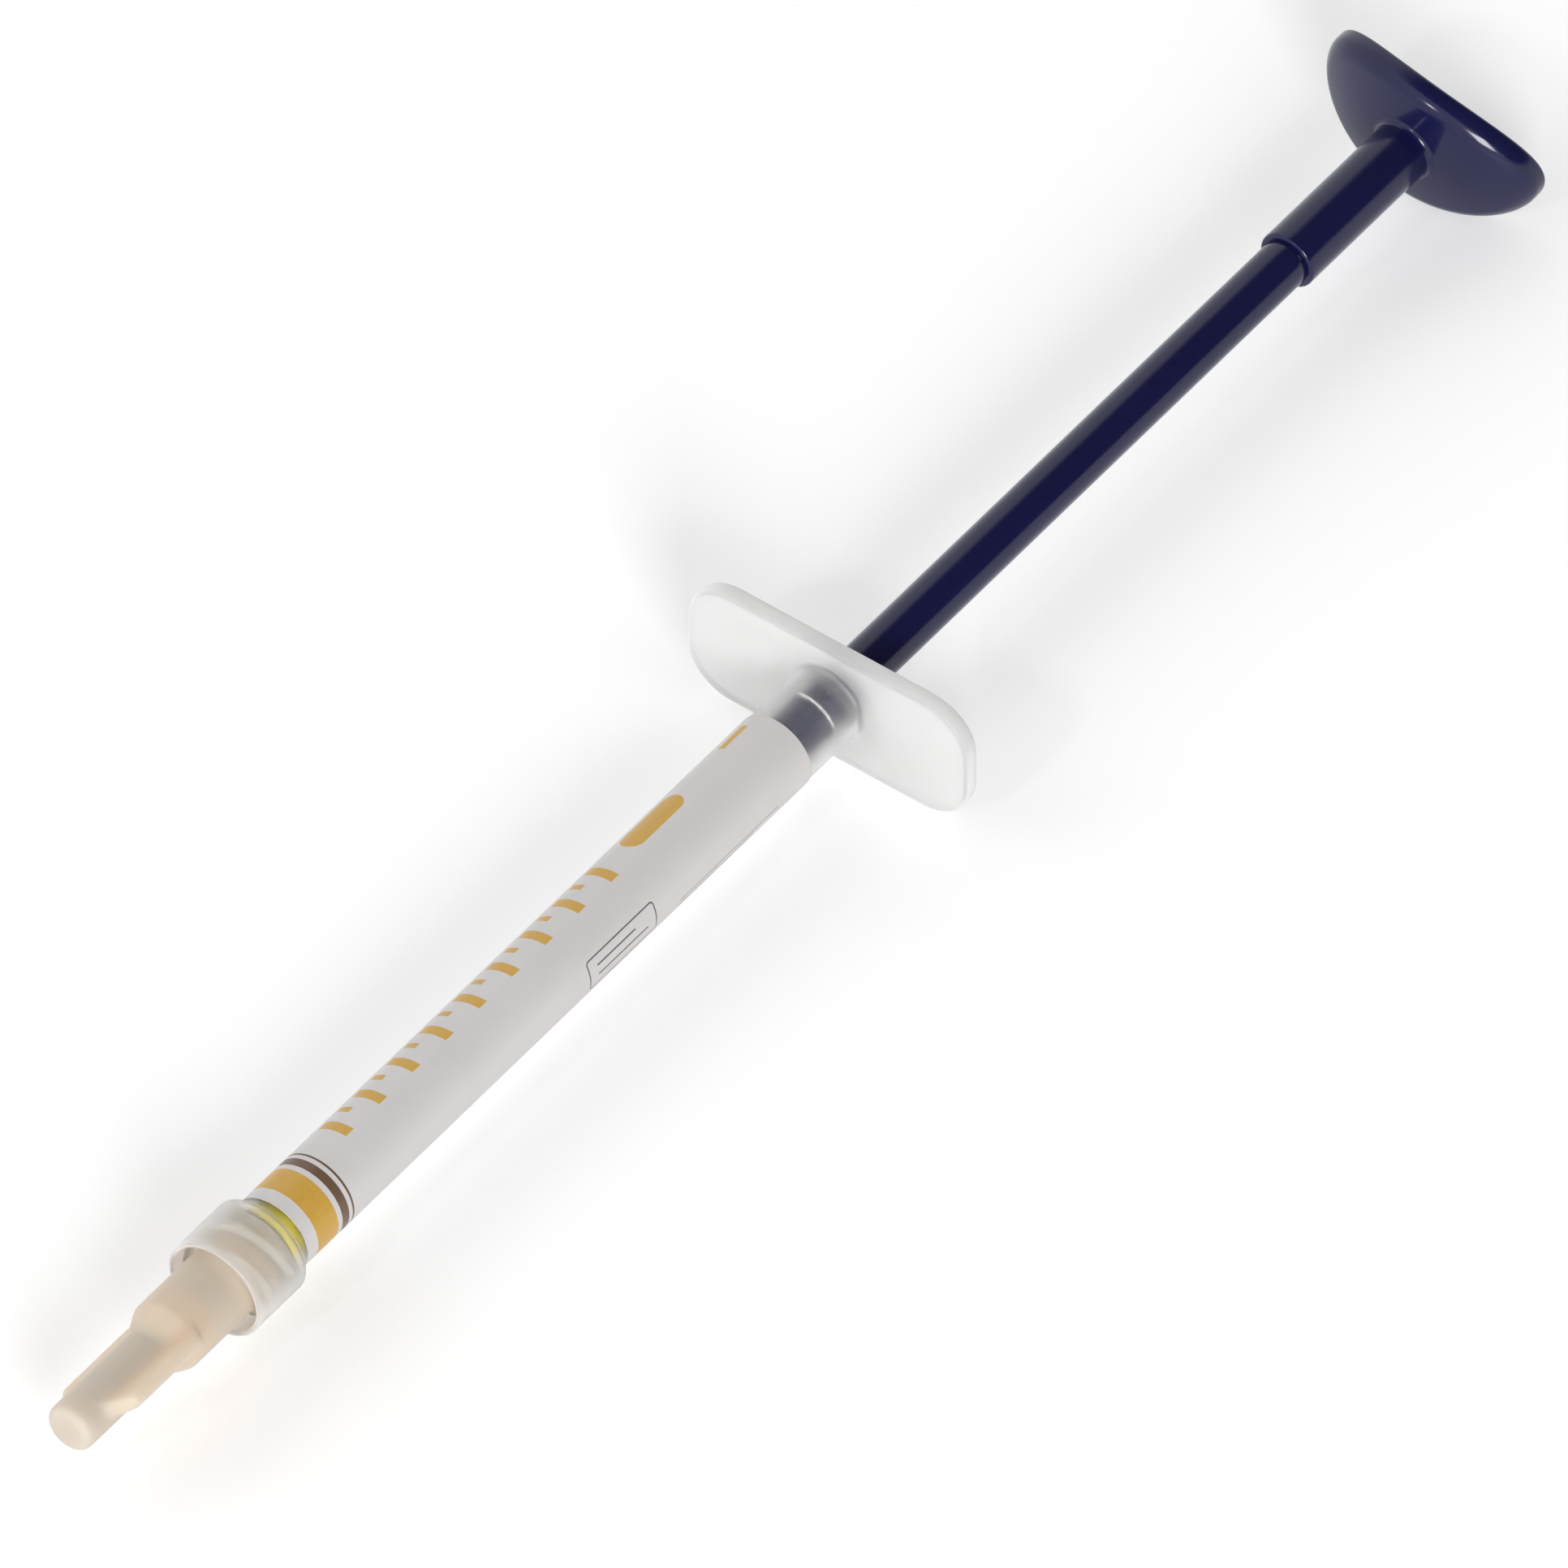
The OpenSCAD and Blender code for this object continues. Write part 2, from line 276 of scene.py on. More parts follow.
def loft(name, rings, closed=False):
    """A watertight piece through rings of points. A ring of one point is a pole."""
    verts = []
    starts = []
    for points in rings:
        starts.append(len(verts))
        verts.extend(points)
    faces = []
    pairs = list(zip(range(len(rings) - 1), range(1, len(rings))))
    if closed:
        pairs.append((len(rings) - 1, 0))
    for a, b in pairs:
        count = max(len(rings[a]), len(rings[b]))
        for i in range(count):
            j = (i + 1) % count
            corners = [starts[a] + i % len(rings[a]), starts[a] + j % len(rings[a])]
            corners += [starts[b] + j % len(rings[b]), starts[b] + i % len(rings[b])]
            faces.append(list(dict.fromkeys(corners)))
    return add_piece(name, verts, faces)


def turned_piece(name, outline, angles):
    """A round piece from an outline that begins and ends on flat faces, each closed by a pole."""
    first_x = outline[0][0]
    last_x = outline[-1][0]
    return loft(name, [pole(first_x)] + turned(outline, angles) + [pole(last_x)])


def ray_length(distance, angle, limit):
    """How far a ray from the axis goes before it leaves a shape that is given by its signed distance."""
    a = math.radians(angle)
    low = 0.0
    high = limit
    for _ in range(RAY_HALVINGS):
        middle = (low + high) / 2
        if distance(middle * math.cos(a), middle * math.sin(a)) < 0:
            low = middle
        else:
            high = middle
    return (low + high) / 2


def rounded_box(y, z, half_y, half_z, corner_r):
    """Signed distance from a rectangle with rounded corners."""
    qy = abs(y) - half_y + corner_r
    qz = abs(z) - half_z + corner_r
    return math.hypot(max(qy, 0), max(qz, 0)) + min(max(qy, qz), 0) - corner_r


def soft_union(a, b, blend):
    """Signed distance from two shapes joined with a small fillet."""
    h = max(blend - abs(a - b), 0) / blend
    return min(a, b) - h * h * blend / 4


def ease(t):
    """Smooth step from 0 to 1."""
    t = min(max(t, 0), 1)
    return t * t * (3 - 2 * t)


# Barrel

# The thread starts at two sides of the collar and fades out at its ends, in degrees
THREAD_STARTS = (-90, 90)
THREAD_FADE = 14
# The rings that carry the thread stop this far from the collar's floor and from its rim, in millimetres
THREAD_FLOOR_GAP = 0.22
THREAD_RIM_GAP = 0.24
# The thread's crests are marked for painted glints this far behind the rim and away from the nozzle, in
# millimetres
MARK_RIM_GAP = 0.2
MARK_NOZZLE_GAP = 0.5


def flange_edge(inset, angles):
    """Distance of the flange's outline from the axis at each angle, drawn in by an inset."""
    half_y = FLANGE_LEN / 2 - inset
    half_z = FLANGE_W / 2 - inset
    corner_r = FLANGE_CORNER - inset

    def distance(y, z):
        return rounded_box(y, z, half_y, half_z, corner_r)

    return {a: ray_length(distance, a, FLANGE_LEN) for a in angles}


def thread_height(x, angle):
    """Height of the two-start thread inside the collar at a station and an angle."""
    height = 0.0
    for start in THREAD_STARTS:
        turn = (angle - start) % 360
        if turn > THREAD_TURN:
            continue
        off = abs(x - (RIM_X + THREAD_W / 2 + THREAD_LEAD * turn / 360))
        side = 1 - ease((off - CREST_W / 2) / ((THREAD_W - CREST_W) / 2))
        ends = ease(turn / THREAD_FADE) * ease((THREAD_TURN - turn) / THREAD_FADE)
        height = max(height, THREAD_H * side * ends)
    return height


def make_barrel():
    """Tube, collar with its thread, nozzle and finger flange: one closed moulding with rounded edges."""
    angles = evenly(288)
    nozzle = [(TIP_X + CHANNEL_SOFT, CHANNEL_R), (TIP_X, CHANNEL_R + CHANNEL_SOFT)]
    nozzle += corner(TIP_X, TIP_R, TIP_SOFT, 180, 90, steps=5)
    nozzle += corner(FLOOR_X, NOZZLE_R - NOZZLE_SUNK, NOZZLE_FILLET, -90, 0, steps=5)
    nozzle += corner(FLOOR_X, ROOT_R, COLLAR_CORNER, 0, 90, steps=4)
    rings = turned(nozzle, angles)
    for x in steps_between(FLOOR_X - THREAD_FLOOR_GAP, RIM_X + THREAD_RIM_GAP, 60):
        rings.append(ring(x, lambda a: ROOT_R - thread_height(x, a), angles))
    outside = beside(RIM_X, ROOT_R, RIM_CHAMFER)
    outside += corner(RIM_X, COLLAR_R, RIM_SOFT, 180, 90, steps=4)
    outside += straight(RIM_X + 0.6, COLLAR_REAR_X - 0.5, COLLAR_R, 6)
    outside += corner(COLLAR_REAR_X, COLLAR_R, COLLAR_SOFT, 90, 0, steps=5)
    outside += corner(COLLAR_REAR_X, BARREL_R, TUBE_FILLET, 180, 270, steps=5)
    outside += straight(COLLAR_REAR_X + 2, FLANGE_X - 2, BARREL_R, 12)
    outside += corner(FLANGE_X, BARREL_R, FLANGE_FILLET, -90, 0, steps=7)
    rings += turned(outside, angles)
    inner = BARREL_R + FLANGE_FILLET
    edge = flange_edge(FLANGE_SOFT, angles)
    for share in steps_between(0, 1, 9)[1:]:
        rings.append(ring(FLANGE_X, lambda a: inner + (edge[a] - inner) * share, angles))
    for turn in steps_between(0, 90, 6)[1:]:
        t = math.radians(turn)
        curve = flange_edge(FLANGE_SOFT * (1 - math.sin(t)), angles)
        rings.append(ring(FLANGE_X + FLANGE_SOFT * (1 - math.cos(t)), curve.get, angles))
    for turn in steps_between(0, 90, 6):
        t = math.radians(turn)
        curve = flange_edge(FLANGE_SOFT * (1 - math.cos(t)), angles)
        rings.append(ring(FLANGE_REAR_X - FLANGE_SOFT * (1 - math.sin(t)), curve.get, angles))
    mouth = GUIDE_R + MOUTH_SOFT
    for share in steps_between(1, 0, 9)[1:]:
        rings.append(ring(FLANGE_REAR_X, lambda a: mouth + (edge[a] - mouth) * share, angles))
    inside = corner(FLANGE_REAR_X, GUIDE_R, MOUTH_SOFT, 0, -90, steps=4)[1:]
    inside += beside(GUIDE_X, GUIDE_R, GUIDE_SLOPE_TOP)
    inside += beside(GUIDE_X, BORE_R, GUIDE_SLOPE_FOOT)
    inside += straight(GUIDE_X - 0.5, BORE_X + BORE_CORNER, BORE_R, 12)
    inside += corner(BORE_X, BORE_R, BORE_CORNER, 90, 180, steps=4)[1:]
    inside += [(BORE_X, CHANNEL_R + CHANNEL_END_SOFT), (BORE_X - CHANNEL_END_SOFT, CHANNEL_R)]
    rings += turned(inside, angles)
    piece = loft("barrel_moulding", rings, closed=True)
    mark_crest_glints(piece.data)
    return piece


def mark_crest_glints(mesh):
    """Marks the thread's crests for the material, which is cloudier there, so that whitish lines paint the
    glints of light on them.
    """
    marks = mesh.attributes.new("thread", "FLOAT", "POINT")
    for vertex in mesh.vertices:
        x, y, z = vertex.co / MM
        radius = math.hypot(y, z - AXIS_Z)
        in_collar = RIM_X + MARK_RIM_GAP < x < FLOOR_X
        on_thread = in_collar and NOZZLE_R + MARK_NOZZLE_GAP < radius < ROOT_R
        marks.data[vertex.index].value = ease((ROOT_R - radius) / THREAD_H * 2 - 1) if on_thread else 0


# Label

# Direction across the tube, along Y and Z, that the middle line of the print faces
PRINT_FACING = (-0.497, 0.867)
PRINT_TURN = math.degrees(math.atan2(PRINT_FACING[1], PRINT_FACING[0]))


def make_label():
    """Printed film with its seam underneath. Its UV map counts millimetres along the tube and round it."""
    inner = LABEL_HIGH.z - AXIS_Z - LABEL_T
    outer = inner + LABEL_T
    gap = math.degrees(LABEL_SEAM / 2 / outer)
    angles = steps_between(-90 + gap, 270 - gap, 220)
    stations = steps_between(LABEL_LOW.x, LABEL_HIGH.x, 40)
    columns = len(angles)
    verts = []
    places = []
    for r in (outer, inner):
        for x in stations:
            verts += ring(x, r, angles)
            places += [(x - LABEL_LOW.x, math.radians(a - PRINT_TURN) * outer) for a in angles]
    sheet = len(stations) * columns
    faces = []
    for i in range(len(stations) - 1):
        for j in range(columns - 1):
            a = i * columns + j
            faces.append((a, a + columns, a + columns + 1, a + 1))
            faces.append((a + sheet, a + sheet + 1, a + sheet + columns + 1, a + sheet + columns))
    last = (len(stations) - 1) * columns
    for j in range(columns - 1):
        faces.append((j, j + 1, j + 1 + sheet, j + sheet))
        faces.append((last + j, last + j + sheet, last + j + 1 + sheet, last + j + 1))
    for i in range(len(stations) - 1):
        a = i * columns
        b = a + columns - 1
        faces.append((a, a + sheet, a + columns + sheet, a + columns))
        faces.append((b, b + columns, b + columns + sheet, b + sheet))
    return add_piece("label_print", verts, faces, places)


# Cap

# Fins, in millimetres: fillet to the body, rounding of the edges, length and shift of the slopes at both ends
FIN_BLEND = 0.8
FIN_SOFT = 0.58
FIN_RISE = 2.8
FIN_RISE_SHIFT = 0.5
FIN_FALL = 1.8
FIN_FALL_SHIFT = 0.8
# How much of the cone's slope is eased, as a share
CONE_EASE = 0.35
# The cap's mesh is finest round the middle of each fin, up to this many degrees to both sides
FIN_SPREAD = 40
# The rings of the cap's skin stop this far from the hub's end and from the nose's rounding, in millimetres
SKIN_HUB_GAP = 0.6
SKIN_NOSE_GAP = 0.05


def fin_height(x):
    """How far the fins reach from the axis at a station. Their ends slope softly into the body."""
    sunk = NOSE_R - FIN_BLEND
    full_x = CAP_LOW.x + FIN_START + FIN_RAMP + FIN_RISE_SHIFT
    end_x = CAP_LOW.x + FIN_START + FIN_LEN + FIN_FALL_SHIFT
    rise = ease((x - full_x) / FIN_RISE + 1)
    fall = ease((end_x - x) / FIN_FALL)
    return sunk + (FIN_HALF - sunk) * min(rise, fall)


def cap_radius(x):
    """Radius of the cap's round body at a station: nose, cone and hub."""
    hub_x = CAP_HIGH.x - HUB_LEN
    cone_x = hub_x - CONE_LEN
    t = (x - cone_x) / CONE_LEN
    share = ease(t) * CONE_EASE + (1 - CONE_EASE) * min(max(t, 0), 1)
    return NOSE_R + (HUB_R - NOSE_R) * share


def cap_outline(x, angles):
    """Distance of the cap's skin from the axis at each angle, with the fins blended into the body."""
    body = cap_radius(x)
    reach = fin_height(x)
    if reach <= body - FIN_BLEND:
        return {a: body for a in angles}

    def distance(y, z):
        fin = rounded_box(y, z, reach, FIN_T / 2, FIN_SOFT)
        return soft_union(math.hypot(y, z) - body, fin, FIN_BLEND)

    return {a: ray_length(distance, a - FIN_TURN, 2 * FIN_HALF) for a in angles}


def make_cap():
    """Finned nose, cone and hub round a hollow core, closed at the front."""
    angles = []
    for middle in (FIN_TURN, FIN_TURN + 180):
        angles += [middle + a for a in steps_between(-FIN_SPREAD, FIN_SPREAD, 90)[:-1]]
        angles += [middle + a for a in steps_between(FIN_SPREAD, 180 - FIN_SPREAD, 50)[:-1]]
    core_x = CAP_LOW.x + CLOSED_END
    socket_x = TIP_X - CAP_GAP
    inside = [(core_x, CORE_R * POLE_SHARE)]
    inside += corner(core_x, CORE_R, CORE_SOFT, 180, 90, steps=4)
    inside += straight(CAP_LOW.x + 4, socket_x - SOCKET_SOFT, CORE_R, 8)
    inside += [(socket_x, CORE_R + SOCKET_SOFT), (socket_x, SOCKET_END_R - SOCKET_SOFT)]
    inside += [(socket_x + SOCKET_SOFT, SOCKET_END_R)]
    inside += beside(CAP_HIGH.x, SOCKET_R, SOCKET_MOUTH)
    inside += corner(CAP_HIGH.x, HUB_R, HUB_SOFT, 0, 90, steps=4)
    rings = [pole(core_x)] + turned(inside, angles)
    for x in steps_between(CAP_HIGH.x - SKIN_HUB_GAP, CAP_LOW.x + NOSE_SOFT + SKIN_NOSE_GAP, 150):
        skin = cap_outline(x, angles)
        rings.append(ring(x, skin.get, angles))
    front = corner(CAP_LOW.x, NOSE_R, NOSE_SOFT, 90, 180, steps=9)
    front += [(CAP_LOW.x, NOSE_R * NOSE_POLE_SHARE)]
    rings += turned(front, angles)
    rings.append(pole(CAP_LOW.x))
    return loft("cap_moulding", rings)


# Plunger, stopper and paste


def make_rod():
    """Round rod with a headed neck for the stopper and a spigot inside the sleeve."""
    head_x = ROD_LOW.x
    neck_x = head_x + HEAD_LEN
    shoulder_x = neck_x + NECK_LEN
    spigot_x = ROD_HIGH.x - SPIGOT_LEN
    outline = [(head_x, NECK_R * POLE_SHARE)]
    outline += corner(head_x, NECK_R, HEAD_SOFT, 180, 90, steps=3)
    outline += corner(neck_x, HEAD_R - PLAY, HEAD_SOFT, 90, 0, steps=4)
    outline += [(neck_x, NECK_R + NECK_SOFT), (neck_x + NECK_SOFT, NECK_R)]
    outline += [(shoulder_x - NECK_SOFT, NECK_R), (shoulder_x, NECK_R + NECK_SOFT)]
    outline += corner(shoulder_x, ROD_R, SHOULDER_SOFT, 180, 90, steps=4)
    outline += straight(shoulder_x + 2, spigot_x - 1, ROD_R, 30)
    outline += corner(spigot_x, ROD_R, ROD_END_SOFT, 90, 0, steps=3)
    outline += [(spigot_x, SPIGOT_R + NECK_SOFT), (spigot_x + NECK_SOFT, SPIGOT_R)]
    outline += beside(ROD_HIGH.x, SPIGOT_R, SPIGOT_TIP)
    outline += [(ROD_HIGH.x, SPIGOT_POLE_R)]
    return turned_piece("rod_moulding", outline, evenly(128))


def thumb_face(along, across, front):
    """Station of the plate's front or rear face at a place along its length and across it."""
    dome_r = (THUMB_HALF_W ** 2 + THUMB_DOME ** 2) / (2 * THUMB_DOME)
    section_r = dome_r if front else dome_r - THUMB_T
    bend = THUMB_BEND_R - dome_r + math.sqrt(section_r ** 2 - across ** 2)
    return PLATE_X + THUMB_BEND_R - math.sqrt(bend ** 2 - along ** 2)


def thumb_ring(inset, front, lift, angles, share=1.0, core=0.0):
    """One ring of the oval plate. lift moves it off the face, share draws it towards a round core."""
    points = []
    turn = math.radians(THUMB_TURN)
    for angle in angles:
        a = math.radians(angle) - turn
        along = ((THUMB_HALF_L - inset) * share + core * (1 - share)) * math.cos(a)
        across = ((THUMB_HALF_W - inset) * share + core * (1 - share)) * math.sin(a)
        x = thumb_face(along, across, front) + lift
        y = along * math.cos(turn) - across * math.sin(turn)
        z = along * math.sin(turn) + across * math.cos(turn)
        points.append((x * MM, y * MM, (AXIS_Z + z) * MM))
    return points


def make_thumb_rest():
    """Sleeve that flares into an oval plate, bent for the thumb, with a rounded rim."""
    angles = evenly(224)
    socket_x = THUMB_X + SPIGOT_LEN + PLAY
    socket_r = SPIGOT_R + PLAY
    outline = [(socket_x, socket_r * POLE_SHARE), (socket_x, socket_r)]
    outline += beside(THUMB_X, socket_r, SLEEVE_MOUTH)
    outline += corner(THUMB_X, SLEEVE_R, SLEEVE_SOFT, 180, 90, steps=6)
    outline += straight(THUMB_X + 1, PLATE_X - 1, SLEEVE_R, 14)
    rings = [pole(socket_x)] + turned(outline, angles)
    curve = corner(PLATE_X, SLEEVE_R, THUMB_FLARE, -90, 0, steps=8)
    for i, (x, r) in enumerate(curve):
        sunk = i / (len(curve) - 1)
        sag = {}
        for a in angles:
            t = math.radians(a - THUMB_TURN)
            sag[a] = (thumb_face(r * math.cos(t), r * math.sin(t), True) - PLATE_X) * sunk
        rings.append(ring(lambda a: x + sag[a], r, angles))
    for share in steps_between(0, 1, 24)[1:]:
        rings.append(thumb_ring(THUMB_FRONT_SOFT, True, 0, angles, share, SLEEVE_R + THUMB_FLARE))
    for turn in steps_between(0, 90, 10)[1:]:
        t = math.radians(turn)
        inset = THUMB_FRONT_SOFT * (1 - math.sin(t))
        lift = THUMB_FRONT_SOFT * (1 - math.cos(t))
        rings.append(thumb_ring(inset, True, lift, angles))
    for turn in steps_between(0, 90, 7):
        t = math.radians(turn)
        inset = THUMB_REAR_SOFT * (1 - math.cos(t))
        lift = -THUMB_REAR_SOFT * (1 - math.sin(t))
        rings.append(thumb_ring(inset, False, lift, angles))
    for share in steps_between(1, THUMB_POLE_SHARE, 20)[1:]:
        rings.append(thumb_ring(THUMB_REAR_SOFT, False, 0, angles, share))
    rings.append(pole(PLATE_X + THUMB_T))
    return loft("thumb_moulding", rings)


def make_stopper():
    """Rubber piston with two sealing ribs and a pocket for the rod's head."""
    front = STOPPER_LOW.x
    rear = STOPPER_HIGH.x - PLAY
    core = RIB_R - RIB_H
    mouth = NECK_R + HEAD_PLAY
    neck_x = rear - NECK_LEN + HEAD_PLAY
    pocket_x = rear - NECK_LEN - HEAD_LEN - HEAD_PLAY
    outline = [(pocket_x, mouth * POLE_SHARE), (pocket_x, mouth), (neck_x, HEAD_R + 2 * HEAD_PLAY)]
    outline += [(neck_x, mouth + NECK_SOFT), (neck_x + NECK_SOFT, mouth)]
    outline += [(rear - STOPPER_MOUTH_SOFT, mouth), (rear, mouth + STOPPER_MOUTH_SOFT)]
    outline += corner(rear, RIB_R, RIB_END_SOFT, 0, 90, steps=5)
    outline += corner(rear - RIB_W, RIB_R, RIB_INNER_SOFT, 90, 160, steps=4)
    outline += beside(rear - RIB_W, core, RIB_REAR_FOOT)
    outline += beside(front + RIB_W, core, RIB_FRONT_FOOT)
    outline += corner(front + RIB_W, RIB_R, RIB_INNER_SOFT, 20, 90, steps=4)
    outline += corner(front, RIB_R, RIB_END_SOFT, 90, 180, steps=5)
    outline += [(front, STOPPER_POLE_R)]
    return turned_piece("stopper_moulding", outline, evenly(128))


def make_filling():
    """Paste that fills the bore."""
    front = BORE_X + PLAY
    rear = PASTE_HIGH.x
    r = BORE_R - PLAY
    outline = [(front, PASTE_POLE_R)]
    outline += corner(front, r, BORE_CORNER, 180, 90, steps=4)
    outline += straight(front + 1, rear - 1, r, 40)
    outline += [(rear - PASTE_SOFT, r), (rear, r - PASTE_SOFT), (rear, PASTE_POLE_R)]
    return turned_piece("paste_filling", outline, evenly(128))


def make_channel_paste():
    """The thread of paste in the nozzle's channel."""
    front = PASTE_LOW.x
    rear = BORE_X - PASTE_BREAK
    r = CHANNEL_R - PLAY
    outline = [(front, r * POLE_SHARE)]
    outline += corner(front, r, PASTE_TIP_SOFT, 180, 90, steps=4)
    outline += straight(front + 0.5, rear - 0.2, r, 8)
    outline += [(rear, r - PASTE_SOFT), (rear, r * POLE_SHARE)]
    return turned_piece("paste_in_channel", outline, evenly(128))


# Materials

# The stretch in the middle of a noise that is spread over a range
NOISE_MIDDLE = (0.3, 0.7)


class Nodes:
    """Small helper that adds linked nodes to a node tree."""

    def __init__(self, tree):
        self.nodes = tree.nodes
        self.links = tree.links

    def link(self, value, socket):
        """Sets a socket from a number, a colour or another socket."""
        if isinstance(value, bpy.types.NodeSocket):
            self.links.new(value, socket)
        else:
            socket.default_value = value

    def math(self, operation, a, b=0.0):
        """A math node on two values."""
        node = self.nodes.new("ShaderNodeMath")
        node.operation = operation
        self.link(a, node.inputs[0])
        self.link(b, node.inputs[1])
        return node.outputs[0]

    def weigh(self, *pairs):
        """Sum of values, each times its weight."""
        total = None
        for value, weight in pairs:
            part = self.math("MULTIPLY", value, weight)
            total = part if total is None else self.math("ADD", total, part)
        return total

    def split(self, vector):
        """The three numbers of a vector, by name."""
        node = self.nodes.new("ShaderNodeSeparateXYZ")
        self.links.new(vector, node.inputs[0])
        return node.outputs

    def vector_math(self, operation, a, b=(0, 0, 0)):
        """A vector math node on two vectors."""
        node = self.nodes.new("ShaderNodeVectorMath")
        node.operation = operation
        self.links.new(a, node.inputs[0])
        node.inputs[1].default_value = b
        return node.outputs

    def step(self, value, low, high, start=0.0, end=1.0):
        """Smooth step from start to end where a value goes from low to high."""
        node = self.nodes.new("ShaderNodeMapRange")
        node.interpolation_type = "SMOOTHSTEP"
        node.inputs["From Min"].default_value = low
        node.inputs["From Max"].default_value = high
        node.inputs["To Min"].default_value = start
        node.inputs["To Max"].default_value = end
        self.links.new(value, node.inputs["Value"])
        return node.outputs["Result"]

    def shown_rays(self):
        """1 for rays from the camera, from reflections and through clear pieces."""
        path = self.nodes.new("ShaderNodeLightPath").outputs
        bent = self.math("MAXIMUM", path["Is Glossy Ray"], path["Is Transmission Ray"])
        return self.math("MAXIMUM", path["Is Camera Ray"], bent)


class Graph(Nodes):
    """A new material and its nodes."""

    def __init__(self, name):
        self.material = bpy.data.materials.new(name)
        self.material.use_nodes = True
        super().__init__(self.material.node_tree)
        self.shader = self.nodes["Principled BSDF"]
        self.place = self.nodes.new("ShaderNodeTexCoord").outputs["Object"]

    def noise(self, size, detail, stretch=(1, 1, 1)):
        """Noise with features of a size in millimetres, drawn out along an axis by stretch."""
        mapping = self.nodes.new("ShaderNodeMapping")
        mapping.inputs["Scale"].default_value = [1 / s for s in stretch]
        self.links.new(self.place, mapping.inputs["Vector"])
        node = self.nodes.new("ShaderNodeTexNoise")
        node.inputs["Scale"].default_value = 1 / (size * MM)
        node.inputs["Detail"].default_value = detail
        self.links.new(mapping.outputs["Vector"], node.inputs["Vector"])
        return node.outputs["Fac"]

    def spread(self, value, low, high):
        """Maps the middle of a noise to the range from low to high."""
        node = self.nodes.new("ShaderNodeMapRange")
        node.inputs["From Min"].default_value = NOISE_MIDDLE[0]
        node.inputs["From Max"].default_value = NOISE_MIDDLE[1]
        node.inputs["To Min"].default_value = low
        node.inputs["To Max"].default_value = high
        self.links.new(value, node.inputs["Value"])
        return node.outputs["Result"]

    def along(self, x, fade):
        """Smooth step along the axis. fade is its start and end beside a station, in millimetres."""
        start, end = fade
        return self.step(self.split(self.place)["X"], (x + start) * MM, (x + end) * MM)

    def outwards(self, low, high):
        """Smooth step away from the axis between two radii in millimetres."""
        offset = self.vector_math("SUBTRACT", self.place, (0, 0, AXIS_Z * MM))[0]
        flat = self.vector_math("MULTIPLY", offset, (0, 1, 1))[0]
        radius = self.vector_math("LENGTH", flat)["Value"]
        return self.step(radius, low * MM, high * MM)

    def edge_on(self, low, high):
        """0 where clear plastic faces the view and 1 near its outline, where there is more of it to pass."""
        return self.step(self.nodes.new("ShaderNodeLayerWeight").outputs["Facing"], low, high)

    def mix(self, share, a, b):
        """Colour a where share is 0 and colour b where it is 1."""
        node = self.nodes.new("ShaderNodeMix")
        node.data_type = "RGBA"
        self.link(share, node.inputs[0])
        self.link(a, node.inputs[6])
        self.link(b, node.inputs[7])
        return node.outputs[2]

    def bump(self, height, depth):
        """Feeds a height into the shader's normal. depth is in millimetres."""
        node = self.nodes.new("ShaderNodeBump")
        node.inputs["Distance"].default_value = depth * MM
        self.link(height, node.inputs["Height"])
        self.links.new(node.outputs["Normal"], self.shader.inputs["Normal"])

    def set(self, **values):
        """Sets the shader's sockets by name, with underscores for spaces."""
        for name, value in values.items():
            self.link(value, self.shader.inputs[name.replace("_", " ")])

    def let_through(self, share):
        """Makes the surface clear by a share, where 1 lets everything through."""
        clear = self.nodes.new("ShaderNodeBsdfTransparent")
        mix = self.nodes.new("ShaderNodeMixShader")
        self.links.new(share, mix.inputs[0])
        self.links.new(self.shader.outputs[0], mix.inputs[1])
        self.links.new(clear.outputs[0], mix.inputs[2])
        self.links.new(mix.outputs[0], self.nodes["Material Output"].inputs["Surface"])

    def back(self):
        """1 on the back of a face and 0 on its front."""
        return self.nodes.new("ShaderNodeNewGeometry").outputs["Backfacing"]


def linear(red, green, blue):
    """A display colour, from 0 to 255, as a shader colour, by the sRGB curve."""
    values = []
    for c in (red / 255, green / 255, blue / 255):
        values.append(c / 12.92 if c <= 0.04045 else ((c + 0.055) / 1.055) ** 2.4)
    return (*values, 1)


# Most and least clearness of the barrel
CLEAR_MOST = 0.98
CLEAR_LEAST = 0.1
# Where it clouds, in millimetres beside the flange, the collar's rear and the rim, and out along the flange
FLANGE_CLOUD = (-1.3, -0.4)
FLANGE_CLOUD_R = 6.0
COLLAR_CLOUD = (0.1, -0.6)
RIM_CLOUD = (1.0, 0.2)
# How far it has to face away before it clouds, from 0 to 1, and how much rougher the flange is
EDGE_CLOUD = (0.3, 0.65)
FLANGE_ROUGHER = 0.1
# Where the cap's colour changes from its solid nose to its hollow body, in millimetres from the front. The
# body's warmer tan is partly the plastic's own tint and partly painted shade of the hollow inside.
CORE_FADE = (1.2, 3.2)


